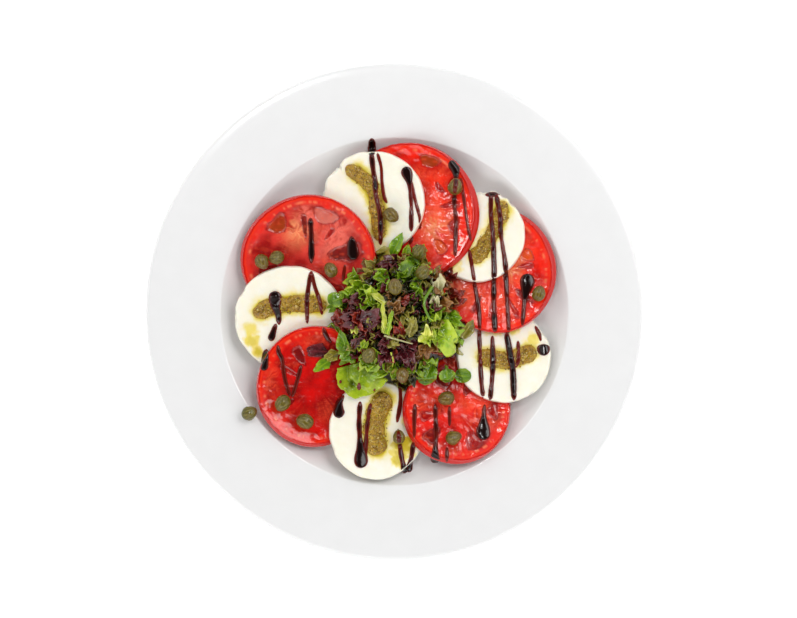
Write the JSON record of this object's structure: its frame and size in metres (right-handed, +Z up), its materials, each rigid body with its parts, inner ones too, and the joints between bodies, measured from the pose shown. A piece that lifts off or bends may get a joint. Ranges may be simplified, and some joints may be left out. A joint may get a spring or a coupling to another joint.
{
  "type": "caprese salad on a plate",
  "caption": "Caprese salad: a ring of overlapping tomato and mozzarella slices with pesto, capers and leaves on a broad-rimmed round plate.",
  "frame": {"origin": "on the table, under the middle of the plate's foot ring", "axes": "+Z up; +Y to the far side of the plate as it is served, +X to the right"},
  "size_m": [0.3, 0.3, 0.0589],
  "materials": {
    "porcelain": "gloss: white glaze",
    "tomato": "gloss: wet cut flesh",
    "mozzarella": "satin: moist cheese",
    "pesto": "satin: coarse oily paste",
    "caper": "satin: moist buds",
    "leaves": "satin: fresh dressed leaves"
  },
  "bodies": {
    "root": {"plate": "porcelain", "tomato_slice_1": "tomato", "tomato_slice_2": "tomato", "tomato_slice_3": "tomato", "tomato_slice_4": "tomato", "tomato_slice_5": "tomato", "mozzarella_slice_1": "mozzarella", "mozzarella_slice_2": "mozzarella", "mozzarella_slice_3": "mozzarella", "mozzarella_slice_4": "mozzarella", "mozzarella_slice_5": "mozzarella", "pesto_strip_1": "pesto", "pesto_strip_2": "pesto", "pesto_strip_3": "pesto", "pesto_strip_4": "pesto", "pesto_strip_5": "pesto", "salad_leaves": "leaves", "caper_01": "caper", "caper_02": "caper", "caper_03": "caper", "caper_04": "caper", "caper_05": "caper", "caper_06": "caper", "caper_07": "caper", "caper_08": "caper", "caper_09": "caper", "caper_10": "caper", "caper_11": "caper", "caper_12": "caper", "caper_13": "caper", "caper_14": "caper", "caper_15": "caper", "caper_16": "caper", "caper_17": "caper"}
  },
  "joints": []
}
